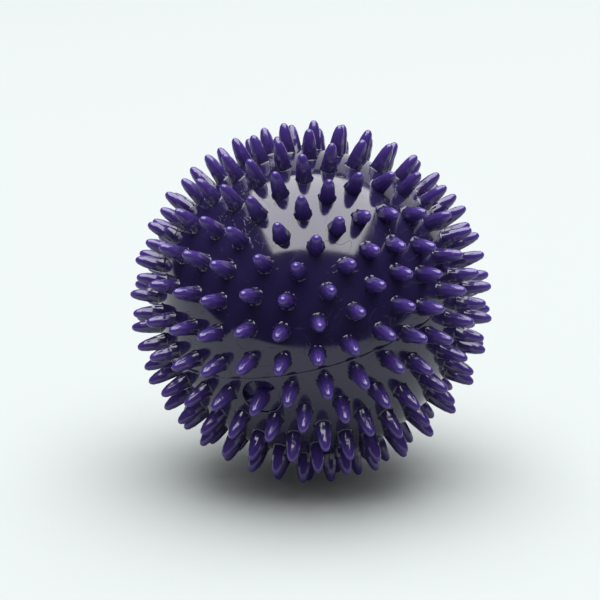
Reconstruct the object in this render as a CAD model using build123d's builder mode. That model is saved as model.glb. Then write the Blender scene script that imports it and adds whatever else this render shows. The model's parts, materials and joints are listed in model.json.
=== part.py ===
from build123d import *
import os
from math import cos, exp, radians, sin, sqrt

# Spiky massage ball: a hollow ball of soft plastic in two welded halves,
# with a pull-out inflation plug that carries one of the spikes.
# Origin at the ball's centre, +Z up as it rests, -Y towards the viewer.

# shell
SHELL_R = 42.0
WALL = 3.0
INNER_R = SHELL_R - WALL
LIP_T = 0.9
LIP_LENGTH = 2.0
GLUE_GAP = 0.05

# spikes
SPIKE_HEIGHT = 8.0
SPIKE_ROOT_R = 2.5
SPIKE_TIP_R = 1.05
TIP_BEVEL = 0.75
TIP_FLAT_R = 0.45
ROOT_DEPTH = 1.0
TIP_SPHERE_R = SHELL_R + SPIKE_HEIGHT

# The spikes stand in rings around an axis that lies in the weld plane. Each ring has
# its angle from that axis, its spikes in one half and the first one's angle from the weld.
# The far side mirrors these rings.
RINGS = [
    (11.4, 3, 30.0),
    (22.9, 6, 15.0),
    (34.1, 9, 10.0),
    (46.4, 12, 7.6),
    (58.4, 13, 8.3),
    (71.2, 15, 6.4),
    (83.2, 15, 6.4),
]

# how the ball lies: its ring axis is level, and the weld plane is turned about that axis
# until the ball stands on four spike tips
RING_AXIS_HEADING = -53.9
WELD_TILT = 17.9

# one patch of spikes lies over, as if the ball had been squeezed there
LEAN_RING_ANGLE = 41.0
LEAN_AZIMUTH = 67.0
LEAN_SPREAD = 20.0
LEAN_TIP_SHIFT = 8.3
LEAN_ROOT_SHARE = 0.25
LEAN_TURN = 26.0

# plug and its seat: the plug takes the place of the spike nearest it
PLUG_RING_ANGLE = 58.8
PLUG_AZIMUTH = -170.3
PLUG_R = 5.1
PLUG_GAP = 0.1
PLUG_SINK = 0.9
RECESS_R = 5.2
RECESS_DEPTH = 1.85
STEM_R = 2.5
STEM_END = 8.0
STEM_CHAMFER = 0.7
SEAT_BORE_R = 2.55
SEAT_NECK_R = 3.4
SEAT_FLANGE_R = 6.0
SEAT_FLANGE_END = 5.2
SEAT_TUBE_R = 4.2
SEAT_END = 9.0
BOND_GAP = 0.03

CENTRE = Vector(0, 0, 0)


def heading(angle):
    return Vector(cos(radians(angle)), sin(radians(angle)), 0)


ring_axis = heading(RING_AXIS_HEADING)
tilt_side = heading(RING_AXIS_HEADING - 90) * sin(radians(WELD_TILT))
weld_up = tilt_side + Vector(0, 0, cos(radians(WELD_TILT)))
weld = Plane(origin=CENTRE, x_dir=ring_axis, z_dir=weld_up)
weld_axis = Axis(CENTRE, weld_up)
section = Plane(origin=CENTRE, x_dir=weld.x_dir, z_dir=-weld.y_dir)


def ring_direction(ring_angle, azimuth):
    """Unit vector at ring_angle from the ring axis, azimuth measured from the weld plane."""
    across = weld.y_dir * cos(radians(azimuth)) + weld.z_dir * sin(radians(azimuth))
    return weld.x_dir * cos(radians(ring_angle)) + across * sin(radians(ring_angle))


lean_centre = ring_direction(LEAN_RING_ANGLE, LEAN_AZIMUTH)
towards_axis = -ring_direction(LEAN_RING_ANGLE + 90, LEAN_AZIMUTH)
round_axis = ring_direction(90, LEAN_AZIMUTH + 90)
lean_direction = towards_axis * cos(radians(LEAN_TURN)) + round_axis * sin(radians(LEAN_TURN))


def spike_place(direction):
    """Where a spike stands: its root on the shell and its own leaning axis."""
    gap = lean_centre.get_angle(direction)
    shift = lean_direction * LEAN_TIP_SHIFT * exp(-((gap / LEAN_SPREAD) ** 2))
    tip = direction * TIP_SPHERE_R + shift
    root = (direction * TIP_SPHERE_R + shift * LEAN_ROOT_SHARE).normalized() * SHELL_R
    return Plane(origin=root, z_dir=tip - root).location


def half_azimuths(count, first):
    return [first + (180 - 2 * first) * n / (count - 1) for n in range(count)]


def ring_angles():
    """Every ring's angle, near side first, with its spike count and first azimuth."""
    near = list(RINGS)
    far = [(180 - angle, count, first) for angle, count, first in RINGS]
    return near + far


def half_directions(side):
    """Directions of the spikes of one half: side is 1 above the weld and -1 below it."""
    spots = [(angle, side * azimuth) for angle, count, first in ring_angles()
             for azimuth in half_azimuths(count, first)]
    return [ring_direction(angle, azimuth) for angle, azimuth in spots]


plug_direction = ring_direction(PLUG_RING_ANGLE, PLUG_AZIMUTH)
plug_place = Plane(origin=plug_direction * SHELL_R, z_dir=plug_direction)
plug_axis = Axis(CENTRE, plug_direction)

upper_places = [spike_place(d) for d in half_directions(1)]
lower_places = [spike_place(d) for d in half_directions(-1) if d.get_angle(plug_direction) > 3]

# one spike, standing on the XY plane: rooted in the wall, tapering side, bevelled blunt tip
bevel_start = SPIKE_HEIGHT - TIP_BEVEL

with BuildSketch(Plane.XZ) as spike_section:
    with BuildLine():
        Polyline(
            (0, -ROOT_DEPTH),
            (SPIKE_ROOT_R, -ROOT_DEPTH),
            (SPIKE_TIP_R, bevel_start),
            (TIP_FLAT_R, SPIKE_HEIGHT),
            (0, SPIKE_HEIGHT),
            close=True,
        )
    make_face()

with BuildPart() as spike:
    add(spike_section.sketch)
    revolve(axis=Axis.Z)

# the two spikes on the ring axis are parted by the weld: each half holds half of them
with BuildPart() as half_spike:
    add(spike_section.sketch)
    revolve(axis=Axis.Z, revolution_arc=180)


def end_places(side):
    """Places of the half spikes of one half shell, their flat sides on the weld plane."""
    near = Plane(origin=weld.x_dir * SHELL_R, x_dir=weld.y_dir * side, z_dir=weld.x_dir)
    far = Plane(origin=-weld.x_dir * SHELL_R, x_dir=-weld.y_dir * side, z_dir=-weld.x_dir)
    return [near.location, far.location]


# lip of the upper half: it tucks inside the lower half along the weld
lip_r = INNER_R + LIP_T
lip_inner_r = sqrt(INNER_R**2 - LIP_LENGTH**2)
rebate_r = lip_r + GLUE_GAP
rebate_depth = LIP_LENGTH + GLUE_GAP
rebate_inner_r = sqrt(INNER_R**2 - rebate_depth**2)


def on_arc(radius, angle):
    return (radius * cos(radians(angle)), radius * sin(radians(angle)))


with BuildPart() as upper_shell:
    with BuildSketch(section):
        with BuildLine():
            ThreePointArc(on_arc(SHELL_R, 90), on_arc(SHELL_R, 45), on_arc(SHELL_R, 0))
            Line((SHELL_R, 0), (lip_r, 0))
            Line((lip_r, 0), (lip_r, -LIP_LENGTH))
            Line((lip_r, -LIP_LENGTH), (lip_inner_r, -LIP_LENGTH))
            ThreePointArc((lip_inner_r, -LIP_LENGTH), on_arc(INNER_R, 45), on_arc(INNER_R, 90))
            Line((0, INNER_R), (0, SHELL_R))
        make_face()
    revolve(axis=weld_axis)
    with Locations(*upper_places):
        add(spike.part)
    with Locations(*end_places(1)):
        add(half_spike.part)

with BuildPart() as lower_shell:
    with BuildSketch(section):
        with BuildLine():
            ThreePointArc(on_arc(SHELL_R, -90), on_arc(SHELL_R, -45), on_arc(SHELL_R, 0))
            Line((SHELL_R, 0), (rebate_r, 0))
            Line((rebate_r, 0), (rebate_r, -rebate_depth))
            Line((rebate_r, -rebate_depth), (rebate_inner_r, -rebate_depth))
            ThreePointArc((rebate_inner_r, -rebate_depth), on_arc(INNER_R, -45), on_arc(INNER_R, -90))
            Line((0, -INNER_R), (0, -SHELL_R))
        make_face()
    revolve(axis=weld_axis)
    with Locations(*lower_places):
        add(spike.part)
    with Locations(*end_places(-1)):
        add(half_spike.part)
    with BuildSketch(plug_place.offset(-RECESS_DEPTH)):
        Circle(RECESS_R)
    extrude(amount=2 * RECESS_DEPTH, mode=Mode.SUBTRACT)
    with BuildSketch(plug_place.offset(-2 * WALL)):
        Circle(SEAT_NECK_R + BOND_GAP)
    extrude(amount=2 * WALL, mode=Mode.SUBTRACT)

# grommet bonded inside the lower shell, behind the recess
with BuildPart() as valve_seat:
    with BuildSketch(plug_place.offset(-SEAT_FLANGE_END)):
        Circle(SEAT_FLANGE_R)
    extrude(amount=SEAT_FLANGE_END)
    Sphere(INNER_R - BOND_GAP, mode=Mode.INTERSECT)
    with BuildSketch(plug_place.offset(-SEAT_FLANGE_END)):
        Circle(SEAT_NECK_R)
    extrude(amount=SEAT_FLANGE_END - RECESS_DEPTH)
    with BuildSketch(plug_place.offset(-SEAT_END)):
        Circle(SEAT_TUBE_R)
    extrude(amount=SEAT_END - SEAT_FLANGE_END)
    with BuildSketch(plug_place.offset(-SEAT_END)):
        Circle(SEAT_BORE_R)
    extrude(amount=SEAT_END, mode=Mode.SUBTRACT)

# plug: a disc sunk in the recess, its stem and its spike
with BuildPart() as valve_plug:
    with BuildSketch(plug_place.offset(PLUG_GAP - RECESS_DEPTH)):
        Circle(PLUG_R)
    extrude(amount=2 * RECESS_DEPTH)
    Sphere(SHELL_R - PLUG_SINK, mode=Mode.INTERSECT)
    with BuildSketch(plug_place.offset(-STEM_END)):
        Circle(STEM_R)
    extrude(amount=STEM_END - RECESS_DEPTH + 2 * PLUG_GAP)
    chamfer(valve_plug.faces().sort_by(plug_axis)[0].edges(), STEM_CHAMFER)
    with Locations(plug_place.offset(-PLUG_SINK).location):
        add(spike.part)

upper_shell.part.label = "upper_shell"
lower_shell.part.label = "lower_shell"
valve_seat.part.label = "valve_seat"
valve_plug.part.label = "valve_plug"

os.makedirs("parts", exist_ok=True)
for piece in (upper_shell, lower_shell, valve_seat, valve_plug):
    export_step(piece.part, f"parts/{piece.part.label}.step")
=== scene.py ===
import json
from math import cos, degrees, exp, pi, radians, sin, sqrt
from random import Random

import bmesh
import bpy
from mathutils import Matrix, Vector


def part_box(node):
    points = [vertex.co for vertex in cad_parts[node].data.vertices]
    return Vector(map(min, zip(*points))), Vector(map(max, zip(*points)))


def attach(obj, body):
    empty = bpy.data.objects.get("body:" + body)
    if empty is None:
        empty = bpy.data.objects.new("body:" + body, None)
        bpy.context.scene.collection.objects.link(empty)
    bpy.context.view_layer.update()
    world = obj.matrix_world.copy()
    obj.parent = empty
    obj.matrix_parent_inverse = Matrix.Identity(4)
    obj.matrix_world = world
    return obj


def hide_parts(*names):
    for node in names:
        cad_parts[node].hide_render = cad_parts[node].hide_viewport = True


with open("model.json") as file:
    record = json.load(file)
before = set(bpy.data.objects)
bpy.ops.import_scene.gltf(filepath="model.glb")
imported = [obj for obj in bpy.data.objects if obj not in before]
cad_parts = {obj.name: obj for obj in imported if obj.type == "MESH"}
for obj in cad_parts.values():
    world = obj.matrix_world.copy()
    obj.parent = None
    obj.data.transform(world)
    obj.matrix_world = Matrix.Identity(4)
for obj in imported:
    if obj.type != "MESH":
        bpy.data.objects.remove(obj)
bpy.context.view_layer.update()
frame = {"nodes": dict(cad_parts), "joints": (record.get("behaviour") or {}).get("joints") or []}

mm = 0.001
plugAxis = Vector(frame["joints"][0]["axis"]).normalized()
floorZ = min(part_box(node)[0].z for node in frame["nodes"])
print("frame loaded:", sorted(frame["nodes"]))


# how the spikes stand on the ball, as in the CAD
layout = {
    "ringAxisHeading": -53.9,  # degrees from +X, level
    "weldTilt": 17.9,  # the weld plane is turned this much about the ring axis
    "rings": [  # angle from the ring axis, spikes in one half, first one's angle from the weld
        (11.4, 3, 30.0),
        (22.9, 6, 15.0),
        (34.1, 9, 10.0),
        (46.4, 12, 7.6),
        (58.4, 13, 8.3),
        (71.2, 15, 6.4),
        (83.2, 15, 6.4),
    ],
    "leanRing": 41.0,  # middle of the patch of spikes that lie over
    "leanAzimuth": 67.0,
    "leanSpread": 20.0,
    "leanShift": 8.3 * mm,  # how far the tips have moved at its middle
    "leanRootShare": 0.25,
    "leanTurn": 26.0,
    "plugClear": 3.0,  # degrees round the plug with no moulded spike
}

ringAxis = Vector((cos(radians(layout["ringAxisHeading"])), sin(radians(layout["ringAxisHeading"])), 0))
weldUp = Matrix.Rotation(radians(layout["weldTilt"]), 3, ringAxis) @ Vector((0, 0, 1))
acrossAxis = weldUp.cross(ringAxis)


def onBall(ringAngle, azimuth):
    across = acrossAxis * cos(radians(azimuth)) + weldUp * sin(radians(azimuth))
    return ringAxis * cos(radians(ringAngle)) + across * sin(radians(ringAngle))


def spikeDirections(side):
    near = layout["rings"]
    far = [(180 - angle, count, first) for angle, count, first in near]
    found = []
    for angle, count, first in near + far:
        for n in range(count):
            found.append(onBall(angle, side * (first + (180 - 2 * first) * n / (count - 1))))
    return [d for d in found if degrees(d.angle(plugAxis)) > layout["plugClear"]]


def facing(direction, origin=Vector()):
    # a frame whose Z runs along the direction
    return Matrix.Translation(origin) @ direction.to_track_quat("Z", "Y").to_matrix().to_4x4()


mergeDistance = 1e-6
cutDistance = 1e-7
crispAngle = radians(35)  # edges that turn more than this stay crisp
facet = 0.3  # a small rounding is one facet, this share of it off each side


# outlines are drawn in the XZ plane and then spun about Z
def lineTo(bm, vert, r, z):
    new = bmesh.ops.extrude_vert_indiv(bm, verts=[vert])["verts"][0]
    new.co = (r, 0, z)
    return new


def arcTo(bm, vert, angle, steps):
    # carries the point round the ball's centre by this angle, away from +Z
    made = bmesh.ops.spin(bm, geom=[vert], cent=(0, 0, 0), axis=(0, 1, 0), dvec=(0, 0, 0),
                          angle=angle, steps=steps, use_merge=False, use_duplicate=False)
    return [g for g in made["geom_last"] if isinstance(g, bmesh.types.BMVert)][0]


def spinRound(bm, steps):
    bmesh.ops.spin(bm, geom=bm.verts[:] + bm.edges[:], cent=(0, 0, 0), axis=(0, 0, 1), dvec=(0, 0, 0),
                   angle=2 * pi, steps=steps, use_merge=True, use_duplicate=False)
    bmesh.ops.remove_doubles(bm, verts=bm.verts, dist=mergeDistance)
    bmesh.ops.recalc_face_normals(bm, faces=bm.faces)


def finishPiece(bm, name, body, node, material):
    for face in bm.faces:
        face.smooth = True
    for edge in bm.edges:
        edge.smooth = edge.calc_face_angle(0) < crispAngle
    mesh = bpy.data.meshes.new(name)
    bm.to_mesh(mesh)
    bm.free()
    mesh.materials.append(material)
    piece = bpy.data.objects.new(name, mesh)
    bpy.context.scene.collection.objects.link(piece)
    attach(piece, body)
    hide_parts(node)
    print(name, "faces:", len(mesh.polygons))
    return piece


def toLinear(hexColour):
    channels = [int(hexColour[i:i + 2], 16) / 255 for i in (1, 3, 5)]
    return [c / 12.92 if c <= 0.04045 else ((c + 0.055) / 1.055) ** 2.4 for c in channels] + [1.0]


def addNode(tree, kind, inputs=None, **settings):
    # inputs maps a socket to a value or to another node's output
    node = tree.nodes.new(kind)
    for name, value in settings.items():
        setattr(node, name, value)
    for socket, value in (inputs or {}).items():
        if isinstance(value, bpy.types.NodeSocket):
            tree.links.new(value, node.inputs[socket])
        else:
            node.inputs[socket].default_value = value
    return node


# plasticised PVC, rotation moulded in a polished mould and inflated: deep violet,
# wet gloss, with a trace of orange peel, draw lines along the spikes and hair scratches
glossyPvc = {
    "shellColour": "#1b1634",
    "spikeGlowColour": "#302258",  # the plastic's violet, painted brighter than the wall's: a painted glow for the light that shines through the thin spikes
    # painted glow, paler again at the tips, where the spikes are thinnest and most light shines through
    "tipGlowColour": "#3a296a",
    "spikeFoot": (0.0, 3.5),  # mm up a spike, where the wall's colour turns to the spike's painted glow and that to the paler painted glow at its tip
    "tipGlowSpan": (3.0, 8.0),  # and the spike's to its tip's
    "cloudSize": 30.0,  # mm
    "cloudShade": (0.88, 1.12),
    "ior": 1.54,
    "roughness": (0.07, 0.17),  # clean and handled
    "spikeWear": 0.04,  # the spikes are rubbed a little duller than the wall
    "smudgeSize": 14.0,  # mm
    "smudgeSpan": (0.35, 0.72),  # noise values from clean to handled
    "peelSize": 1.4,  # mm
    "peelDepth": 0.004 * mm,
    "drawLineSize": 0.45,  # mm across; real lines are finer than shows
    "drawLineStretch": 0.05,  # width over length
    "drawLineDepth": 0.004 * mm,
    "scratchDepth": 0.02 * mm,  # coarser and deeper than real hair scratches, so that they show
    "curlSize": 7.0,  # mm, one curl
    "curlWidth": 0.008,  # how far the noise may be from a curl's middle line
    "curlSpan": (0.46, 0.56),  # smudge values over which the curls appear
    "fleckSize": (7.0, 0.35),  # mm, long and wide, of the short scuffs
    "fleckSpan": (0.82, 0.9),  # higher leaves fewer of them
}


def makeGlossyPvc():
    p = glossyPvc
    material = bpy.data.materials.new("polishedMouldPvc")
    material.use_nodes = True
    tree = material.node_tree
    tree.nodes.clear()
    coords = addNode(tree, "ShaderNodeTexCoord").outputs["Object"]
    spikeAt = addNode(tree, "ShaderNodeAttribute", attribute_name="spikeCoord").outputs["Vector"]
    spikeZ = addNode(tree, "ShaderNodeSeparateXYZ", {0: spikeAt}).outputs["Z"]
    low, high = p["spikeFoot"]
    onSpike = addNode(tree, "ShaderNodeMapRange", {
        "Value": spikeZ, "From Min": low, "From Max": high}).outputs[0]
    low, high = p["tipGlowSpan"]
    tipGlow = addNode(tree, "ShaderNodeMapRange", {
        "Value": spikeZ, "From Min": low, "From Max": high}).outputs[0]

    # colour: clouded a little at random, with a painted glow that makes the spikes brighter than the wall
    # and paler towards the tips
    cloud = addNode(tree, "ShaderNodeTexNoise", {
        "Vector": coords, "Scale": 1 / (p["cloudSize"] * mm), "Detail": 2.0}).outputs[0]
    low, high = p["cloudShade"]
    shade = addNode(tree, "ShaderNodeMapRange", {
        "Value": cloud, "From Min": 0.3, "From Max": 0.7, "To Min": low, "To Max": high}).outputs[0]
    side = addNode(tree, "ShaderNodeMix", {
        "Factor": onSpike, 6: toLinear(p["shellColour"]), 7: toLinear(p["spikeGlowColour"])},
        data_type="RGBA").outputs[2]
    body = addNode(tree, "ShaderNodeMix", {
        "Factor": tipGlow, 6: side, 7: toLinear(p["tipGlowColour"])}, data_type="RGBA").outputs[2]
    colour = addNode(tree, "ShaderNodeVectorMath", {0: body, 1: shade}, operation="MULTIPLY").outputs[0]

    # roughness: smudged by hands, and duller on the spikes
    smudge = addNode(tree, "ShaderNodeTexNoise", {
        "Vector": coords, "Scale": 1 / (p["smudgeSize"] * mm), "Detail": 5.0, "Roughness": 0.6}).outputs[0]
    low, high = p["smudgeSpan"]
    clean, dull = p["roughness"]
    handled = addNode(tree, "ShaderNodeMapRange", {
        "Value": smudge, "From Min": low, "From Max": high, "To Min": clean, "To Max": dull}).outputs[0]
    rubbed = addNode(tree, "ShaderNodeMath", {
        0: onSpike, 1: p["spikeWear"]}, operation="MULTIPLY").outputs[0]
    roughness = addNode(tree, "ShaderNodeMath", {0: handled, 1: rubbed}, operation="ADD").outputs[0]

    # orange peel, then the draw lines along the spikes
    peel = addNode(tree, "ShaderNodeTexNoise", {
        "Vector": coords, "Scale": 1 / (p["peelSize"] * mm), "Detail": 1.0}).outputs[0]
    peelBump = addNode(tree, "ShaderNodeBump", {
        "Height": peel, "Distance": p["peelDepth"], "Strength": 1.0}).outputs[0]
    stretched = addNode(tree, "ShaderNodeVectorMath", {
        0: spikeAt, 1: (1, 1, p["drawLineStretch"])}, operation="MULTIPLY").outputs[0]
    lines = addNode(tree, "ShaderNodeTexNoise", {
        "Vector": stretched, "Scale": 1 / p["drawLineSize"], "Detail": 1.0}).outputs[0]
    spikeLines = addNode(tree, "ShaderNodeMath", {0: lines, 1: onSpike}, operation="MULTIPLY").outputs[0]
    lineBump = addNode(tree, "ShaderNodeBump", {
        "Height": spikeLines, "Distance": p["drawLineDepth"], "Normal": peelBump}).outputs[0]

    # hair scratches: a curl runs where a distorted noise crosses its middle value
    curls = addNode(tree, "ShaderNodeTexNoise", {
        "Vector": coords, "Scale": 1 / (p["curlSize"] * mm), "Detail": 2.0, "Distortion": 1.2}).outputs[0]
    offLine = addNode(tree, "ShaderNodeMath", {0: curls, 1: 0.5}, operation="SUBTRACT").outputs[0]
    nearLine = addNode(tree, "ShaderNodeMath", {0: offLine}, operation="ABSOLUTE").outputs[0]
    scratch = addNode(tree, "ShaderNodeMapRange", {
        "Value": nearLine, "From Min": 0.0, "From Max": p["curlWidth"],
        "To Min": 1.0, "To Max": 0.0}).outputs[0]
    low, high = p["curlSpan"]
    where = addNode(tree, "ShaderNodeMapRange", {
        "Value": smudge, "From Min": low, "From Max": high}).outputs[0]
    curled = addNode(tree, "ShaderNodeMath", {0: scratch, 1: where}, operation="MULTIPLY").outputs[0]
    long, wide = (1 / (size * mm) for size in p["fleckSize"])
    flat = addNode(tree, "ShaderNodeVectorMath", {
        0: coords, 1: (long, long, wide)}, operation="MULTIPLY").outputs[0]
    flecks = addNode(tree, "ShaderNodeTexNoise", {
        "Vector": flat, "Scale": 1.0, "Detail": 0.0}).outputs[0]
    low, high = p["fleckSpan"]
    scuff = addNode(tree, "ShaderNodeMapRange", {
        "Value": flecks, "From Min": low, "From Max": high}).outputs[0]
    scratches = addNode(tree, "ShaderNodeMath", {0: curled, 1: scuff}, operation="MAXIMUM").outputs[0]
    normal = addNode(tree, "ShaderNodeBump", {
        "Height": scratches, "Distance": p["scratchDepth"], "Normal": lineBump}, invert=True).outputs[0]

    shader = addNode(tree, "ShaderNodeBsdfPrincipled", {
        "Base Color": colour, "Roughness": roughness, "IOR": p["ior"], "Normal": normal})
    addNode(tree, "ShaderNodeOutputMaterial", {"Surface": shader.outputs[0]})
    return material


pvc = makeGlossyPvc()
print("shell plastic ready")


spike = {
    "height": 8.0 * mm,
    "steps": 10,
    # half outline in mm, from just inside the wall, over the root fillet, to the round tip
    "outline": [(2.64, -0.16), (2.34, 0.03), (2.21, 0.34), (1.98, 2.90),
                (1.62, 5.50), (1.12, 7.15), (0.58, 7.82), (0.0, 8.0)],
    "tilt": 1.6,  # degrees, each spike stands a little its own way
    "stretch": 0.02,  # and is up to this share taller or shorter
}

leanCentre = onBall(layout["leanRing"], layout["leanAzimuth"])
leanAlong = -onBall(layout["leanRing"] + 90, layout["leanAzimuth"])
leanRound = onBall(90, layout["leanAzimuth"] + 90)
leanWay = leanAlong * cos(radians(layout["leanTurn"])) + leanRound * sin(radians(layout["leanTurn"]))


def makeSpikeMesh(half):
    # one spike standing on the XY plane; a half one keeps only +Y
    bm = bmesh.new()
    coord = bm.verts.layers.float_vector.new("spikeCoord")
    r, z = spike["outline"][0]
    vert = bm.verts.new((r * mm, 0, z * mm))
    for r, z in spike["outline"][1:]:
        vert = lineTo(bm, vert, r * mm, z * mm)
    spinRound(bm, spike["steps"])
    if half:
        bmesh.ops.bisect_plane(bm, geom=bm.verts[:] + bm.edges[:] + bm.faces[:], dist=cutDistance,
                               plane_co=(0, 0, 0), plane_no=(0, -1, 0), clear_outer=True)
    bmesh.ops.holes_fill(bm, edges=[e for e in bm.edges if e.is_boundary])
    bmesh.ops.recalc_face_normals(bm, faces=bm.faces)
    for v in bm.verts:
        v[coord] = v.co / mm
    mesh = bpy.data.meshes.new("spikeShape")
    bm.to_mesh(mesh)
    bm.free()
    return mesh


wholeSpike = makeSpikeMesh(False)
halfSpike = makeSpikeMesh(True)


def addSpike(bm, shape, place):
    placed = shape.copy()
    placed.transform(place)
    bm.from_mesh(placed)
    bpy.data.meshes.remove(placed)


def spikePlace(direction, rng):
    tipR = shell["radius"] + spike["height"]
    gap = degrees(direction.angle(leanCentre))
    shift = leanWay * layout["leanShift"] * exp(-((gap / layout["leanSpread"]) ** 2))
    tip = direction * tipR + shift
    root = (direction * tipR + shift * layout["leanRootShare"]).normalized() * shell["radius"]
    tilt = radians(rng.gauss(0, spike["tilt"]))
    own = Matrix.Rotation(tilt, 4, Vector((rng.random(), rng.random(), 0.1)))
    turn = Matrix.Rotation(rng.uniform(0, 2 * pi), 4, "Z")
    size = Matrix.Diagonal((1, 1, 1 + rng.uniform(-spike["stretch"], spike["stretch"]), 1))
    return facing(tip - root, root) @ own @ turn @ size


shell = {
    "radius": 42.0 * mm,
    "wall": 3.0 * mm,
    "steps": 180,  # faces round the ball
    "arcSteps": 88,
    "seamRound": 0.12 * mm,  # the rims are rounded, which leaves the thin dark line
    "recessR": 5.2 * mm,
    "recessDepth": 1.85 * mm,
    "recessRound": 0.22 * mm,
    "boreR": 3.43 * mm,
}


def addSpikes(bm, name, side):
    rng = Random(name)
    for direction in spikeDirections(side):
        addSpike(bm, wholeSpike, spikePlace(direction, rng))
    for end in (1, -1):
        # the two spikes on the ring axis are parted by the weld
        out = ringAxis * end
        up = weldUp * side
        turned = Matrix((up.cross(out), up, out)).transposed().to_4x4()
        addSpike(bm, halfSpike, Matrix.Translation(out * shell["radius"]) @ turned)


def makeUpperShell():
    outer, wall, seam = shell["radius"], shell["wall"], shell["seamRound"]
    bm = bmesh.new()
    bm.verts.layers.float_vector.new("spikeCoord")
    vert = arcTo(bm, bm.verts.new((0, 0, outer)), pi / 2 - seam / outer, shell["arcSteps"])
    vert = lineTo(bm, vert, outer - facet * seam, facet * seam)
    vert = lineTo(bm, vert, outer - seam, 0)
    vert = lineTo(bm, vert, outer - wall, 0)
    arcTo(bm, vert, -pi / 2, shell["arcSteps"])
    spinRound(bm, shell["steps"])
    bmesh.ops.transform(bm, matrix=facing(weldUp), verts=bm.verts)
    addSpikes(bm, "upperShell", 1)
    return finishPiece(bm, "upperShell", "ball", "upper_shell", pvc)


def moveRim(bm, edges, scale, lift):
    # extrudes a rim loop to a new radius and towards the weld plane
    made = bmesh.ops.extrude_edge_only(bm, edges=edges)["geom"]
    weldFrame = facing(weldUp)
    change = Matrix.Translation((0, 0, lift)) @ Matrix.Diagonal((scale, scale, 1, 1))
    bmesh.ops.transform(bm, matrix=weldFrame @ change @ weldFrame.inverted(),
                        verts=[g for g in made if isinstance(g, bmesh.types.BMVert)])
    return [g for g in made if isinstance(g, bmesh.types.BMEdge)]


def makeLowerShell():
    outer, seam = shell["radius"], shell["seamRound"]
    inner = outer - shell["wall"]
    boreR, recessR, rounding = shell["boreR"], shell["recessR"], shell["recessRound"]
    floor = outer - shell["recessDepth"]
    bm = bmesh.new()
    bm.verts.layers.float_vector.new("spikeCoord")
    # spun about the plug's axis: the bore, the recess and its rounded rim, then the ball
    start = bm.verts.new((boreR, 0, sqrt(inner**2 - boreR**2)))
    arcTo(bm, start, pi - Vector((0, 0, 1)).angle(start.co), shell["arcSteps"])
    vert = lineTo(bm, start, boreR, floor)
    vert = lineTo(bm, vert, recessR, floor)
    rimEnd = sqrt(outer**2 - (recessR + rounding) ** 2)
    for turn in (0, 30, 60, 90):
        r = recessR + rounding * (1 - cos(radians(turn)))
        vert = lineTo(bm, vert, r, rimEnd - rounding * (1 - sin(radians(turn))))
    arcTo(bm, vert, pi - Vector((0, 0, 1)).angle(vert.co), shell["arcSteps"] * 2)
    spinRound(bm, shell["steps"])
    bmesh.ops.transform(bm, matrix=facing(plugAxis), verts=bm.verts)
    # the weld plane takes the rest away and leaves an outer and an inner rim
    cut = bmesh.ops.bisect_plane(bm, geom=bm.verts[:] + bm.edges[:] + bm.faces[:], dist=cutDistance,
                                 plane_co=-weldUp * seam, plane_no=weldUp, clear_outer=True)["geom_cut"]
    rim = [g for g in cut if isinstance(g, bmesh.types.BMEdge)]
    middle = (outer + inner) / 2
    outerRim = [e for e in rim if e.verts[0].co.length > middle]
    innerRim = [e for e in rim if e.verts[0].co.length < middle]
    outerRim = moveRim(bm, outerRim, 1 - facet * seam / outer, (1 - facet) * seam)
    outerRim = moveRim(bm, outerRim, 1 - (1 - facet) * seam / outer, facet * seam)
    innerRim = moveRim(bm, innerRim, 1, seam)
    bmesh.ops.bridge_loops(bm, edges=outerRim + innerRim)
    bmesh.ops.recalc_face_normals(bm, faces=bm.faces)
    addSpikes(bm, "lowerShell", -1)
    return finishPiece(bm, "lowerShell", "ball", "lower_shell", pvc)


makeUpperShell()
makeLowerShell()


plug = {
    "r": 5.1 * mm,
    "spikeSink": 0.9 * mm,  # its spike stands this far under the ball's surface
    "faceSink": 0.25 * mm,  # and the outer part of its face this far
    "under": 1.75 * mm,  # depth of the disc's underside
    "edgeRound": 0.15 * mm,
    "faceRings": 10,
    "hollow": 1.3 * mm,  # depth of the hollow that lies against the spike, on its upper side
    "hollowFrom": 0.6 * mm,  # from the plug's middle to the hollow's lower edge
    "hollowEdge": 0.45 * mm,  # width of that edge
    "hollowRise": 0.9,  # share of the depth that its floor gains up to the rim
    "hollowTurn": 30.0,  # degrees to the left of straight up
    "stemR": 2.5 * mm,
    "stemEnd": 8.0 * mm,
    "stemChamfer": 0.7 * mm,
    "steps": 96,
}


def hollowDepth(x, y):
    # a steep lower edge, then a floor that curves up to the plug's rim
    turn = radians(plug["hollowTurn"])
    up = y * cos(turn) - x * sin(turn) - plug["hollowFrom"]
    edge = min(max(up / plug["hollowEdge"], 0), 1)
    rise = min(max(up / (plug["r"] - plug["hollowFrom"]), 0), 1)
    return plug["hollow"] * edge * edge * (3 - 2 * edge) * (1 - plug["hollowRise"] * rise * rise)


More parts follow.
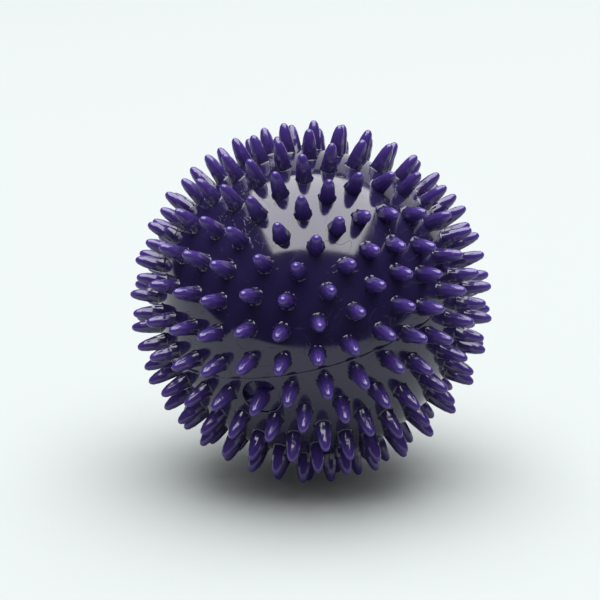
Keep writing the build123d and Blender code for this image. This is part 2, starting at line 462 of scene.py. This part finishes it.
def makePlug():
    ball = shell["radius"]
    face = ball - plug["faceSink"]
    spikeBase = ball - plug["spikeSink"]
    bm = bmesh.new()
    coord = bm.verts.layers.float_vector.new("spikeCoord")
    vert = bm.verts.new((0, 0, ball - plug["stemEnd"]))
    vert = lineTo(bm, vert, plug["stemR"] - plug["stemChamfer"], ball - plug["stemEnd"])
    vert = lineTo(bm, vert, plug["stemR"], ball - plug["stemEnd"] + plug["stemChamfer"])
    vert = lineTo(bm, vert, plug["stemR"], ball - plug["under"])
    vert = lineTo(bm, vert, plug["r"], ball - plug["under"])
    edge = sqrt(face**2 - plug["r"] ** 2)
    rounding = plug["edgeRound"]
    vert = lineTo(bm, vert, plug["r"], edge - rounding)
    vert = lineTo(bm, vert, plug["r"] - facet * rounding, edge - facet * rounding)
    rim = plug["r"] - rounding
    root = spike["outline"][1][0] * mm
    for n in range(plug["faceRings"] + 1):
        r = rim + (root - rim) * n / plug["faceRings"]
        vert = lineTo(bm, vert, r, sqrt(face**2 - r**2))
    for r, z in spike["outline"][3:]:
        vert = lineTo(bm, vert, r * mm, spikeBase + z * mm)
    spinRound(bm, plug["steps"])
    slack = 0.01 * mm
    for v in bm.verts:
        v[coord] = (v.co - Vector((0, 0, spikeBase))) / mm
        onFace = root - slack < v.co.xy.length < rim + slack and v.co.z > edge - slack
        if onFace:
            v.co.z -= hollowDepth(v.co.x, v.co.y)
    bmesh.ops.transform(bm, matrix=facing(plugAxis), verts=bm.verts)
    return finishPiece(bm, "valvePlug", "plug", "valve_plug", pvc)


makePlug()
print("ball and plug modelled")


# the seat is a plain moulding of softer PVC in satin finish, seen only with the plug out
satinPvc = {
    "colour": "#2f2a4c",
    "paleColour": "#3b3560",
    "ior": 1.53,
    "roughness": (0.32, 0.5),
    "grainSize": 0.6,  # mm
    "grainDepth": 0.02 * mm,
}


def makeSatinPvc():
    p = satinPvc
    material = bpy.data.materials.new("satinMouldedPvc")
    material.use_nodes = True
    tree = material.node_tree
    tree.nodes.clear()
    coords = addNode(tree, "ShaderNodeTexCoord").outputs["Object"]
    grain = addNode(tree, "ShaderNodeTexNoise", {
        "Vector": coords, "Scale": 1 / (p["grainSize"] * mm), "Detail": 3.0}).outputs[0]
    colour = addNode(tree, "ShaderNodeMix", {
        "Factor": grain, 6: toLinear(p["colour"]), 7: toLinear(p["paleColour"])},
        data_type="RGBA").outputs[2]
    smooth, rough = p["roughness"]
    roughness = addNode(tree, "ShaderNodeMapRange", {
        "Value": grain, "To Min": smooth, "To Max": rough}).outputs[0]
    normal = addNode(tree, "ShaderNodeBump", {"Height": grain, "Distance": p["grainDepth"]}).outputs[0]
    shader = addNode(tree, "ShaderNodeBsdfPrincipled", {
        "Base Color": colour, "Roughness": roughness, "IOR": p["ior"], "Normal": normal})
    addNode(tree, "ShaderNodeOutputMaterial", {"Surface": shader.outputs[0]})
    return material


seat = frame["nodes"]["valve_seat"]
seat.material_slots[0].material = makeSatinPvc()
print("seat plastic ready")


studio = {
    "floorColour": "#8f9393",
    "floorRoughness": 0.9,
    "floorSpecular": 0.1,
    "floorReach": 20.0,
    "tableFront": -0.175,  # the lit table ends here, and the ball mirrors the dark room past it
    "boxHeight": 8.0,
    "boxX": (-0.62, 0.72),  # edges of the overhead softbox, as shares of its height
    "boxY": (-0.76, 0.66),
    "boxRadiance": 6.7,
    "wallX": (-2.0, 9.0),  # a white wall behind, which hazes the top of the ball
    "wallY": 8.0,
    "wallTop": 9.2,
    "wallRadiance": 0.9,
    "roomRadiance": 0.7,
}

floorPaint = bpy.data.materials.new("mattWhiteCard")
floorPaint.use_nodes = True
floorShader = floorPaint.node_tree.nodes["Principled BSDF"]
floorShader.inputs["Base Color"].default_value = toLinear(studio["floorColour"])
floorShader.inputs["Roughness"].default_value = studio["floorRoughness"]
floorShader.inputs["Specular IOR Level"].default_value = studio["floorSpecular"]


def makeFloorPart(name, low, high, mirrored):
    bm = bmesh.new()
    bmesh.ops.create_grid(bm, x_segments=4, y_segments=4, size=0.5)
    bmesh.ops.scale(bm, vec=(high[0] - low[0], high[1] - low[1], 1), verts=bm.verts)
    middle = ((high[0] + low[0]) / 2, (high[1] + low[1]) / 2, floorZ)
    bmesh.ops.translate(bm, vec=middle, verts=bm.verts)
    mesh = bpy.data.meshes.new(name)
    bm.to_mesh(mesh)
    bm.free()
    mesh.materials.append(floorPaint)
    part = bpy.data.objects.new(name, mesh)
    bpy.context.scene.collection.objects.link(part)
    part.visible_glossy = mirrored


def addPanel(name, middle, width, depth, tilt, radiance):
    # a lit rectangle that faces down, or is tilted about X
    panel = bpy.data.lights.new(name, "AREA")
    panel.shape = "RECTANGLE"
    panel.size = width
    panel.size_y = depth
    panel.energy = radiance * width * depth * pi
    panelObject = bpy.data.objects.new(name, panel)
    panelObject.location = middle
    panelObject.rotation_euler = (radians(tilt), 0, 0)
    panelObject.visible_camera = False
    bpy.context.scene.collection.objects.link(panelObject)


def addSoftbox():
    height = studio["boxHeight"]
    left, right = (edge * height for edge in studio["boxX"])
    front, back = (edge * height for edge in studio["boxY"])
    middle = ((left + right) / 2, (front + back) / 2, height)
    addPanel("softbox", middle, right - left, back - front, 0, studio["boxRadiance"])


def addWall():
    left, right = studio["wallX"]
    top = studio["wallTop"]
    middle = ((left + right) / 2, studio["wallY"], top / 2)
    addPanel("whiteWall", middle, right - left, top, -90, studio["wallRadiance"])


reach = studio["floorReach"]
makeFloorPart("table", (-reach, studio["tableFront"]), (reach, reach), True)
makeFloorPart("floorInFront", (-reach, -reach), (reach, studio["tableFront"]), False)
addSoftbox()
addWall()

# the pale room only fills: the gloss mirrors the softbox and the table against the dark
world = bpy.data.worlds.new("paleRoom")
bpy.context.scene.world = world
world.use_nodes = True
background = world.node_tree.nodes["Background"]
background.inputs["Color"].default_value = (1, 1, 1, 1)
background.inputs["Strength"].default_value = studio["roomRadiance"]
world.cycles_visibility.glossy = False
bpy.context.scene.view_settings.view_transform = "Standard"

view = {
    "distance": 0.503,
    "elevation": 14.0,  # degrees above level
    "aim": (-0.00307, 0, 0.0005),
    "lens": 109.0,  # mm, on a sensor 36 mm wide
    "sensor": 36.0,
}
camera = bpy.data.cameras.new("camera")
camera.lens = view["lens"]
camera.sensor_width = view["sensor"]
cameraObject = bpy.data.objects.new("camera", camera)
rise = radians(view["elevation"])
cameraObject.location = (0, -view["distance"] * cos(rise), view["distance"] * sin(rise))
look = Vector(view["aim"]) - cameraObject.location
cameraObject.rotation_euler = look.to_track_quat("-Z", "Y").to_euler()
bpy.context.scene.collection.objects.link(cameraObject)
bpy.context.scene.camera = cameraObject
print("studio and camera ready")
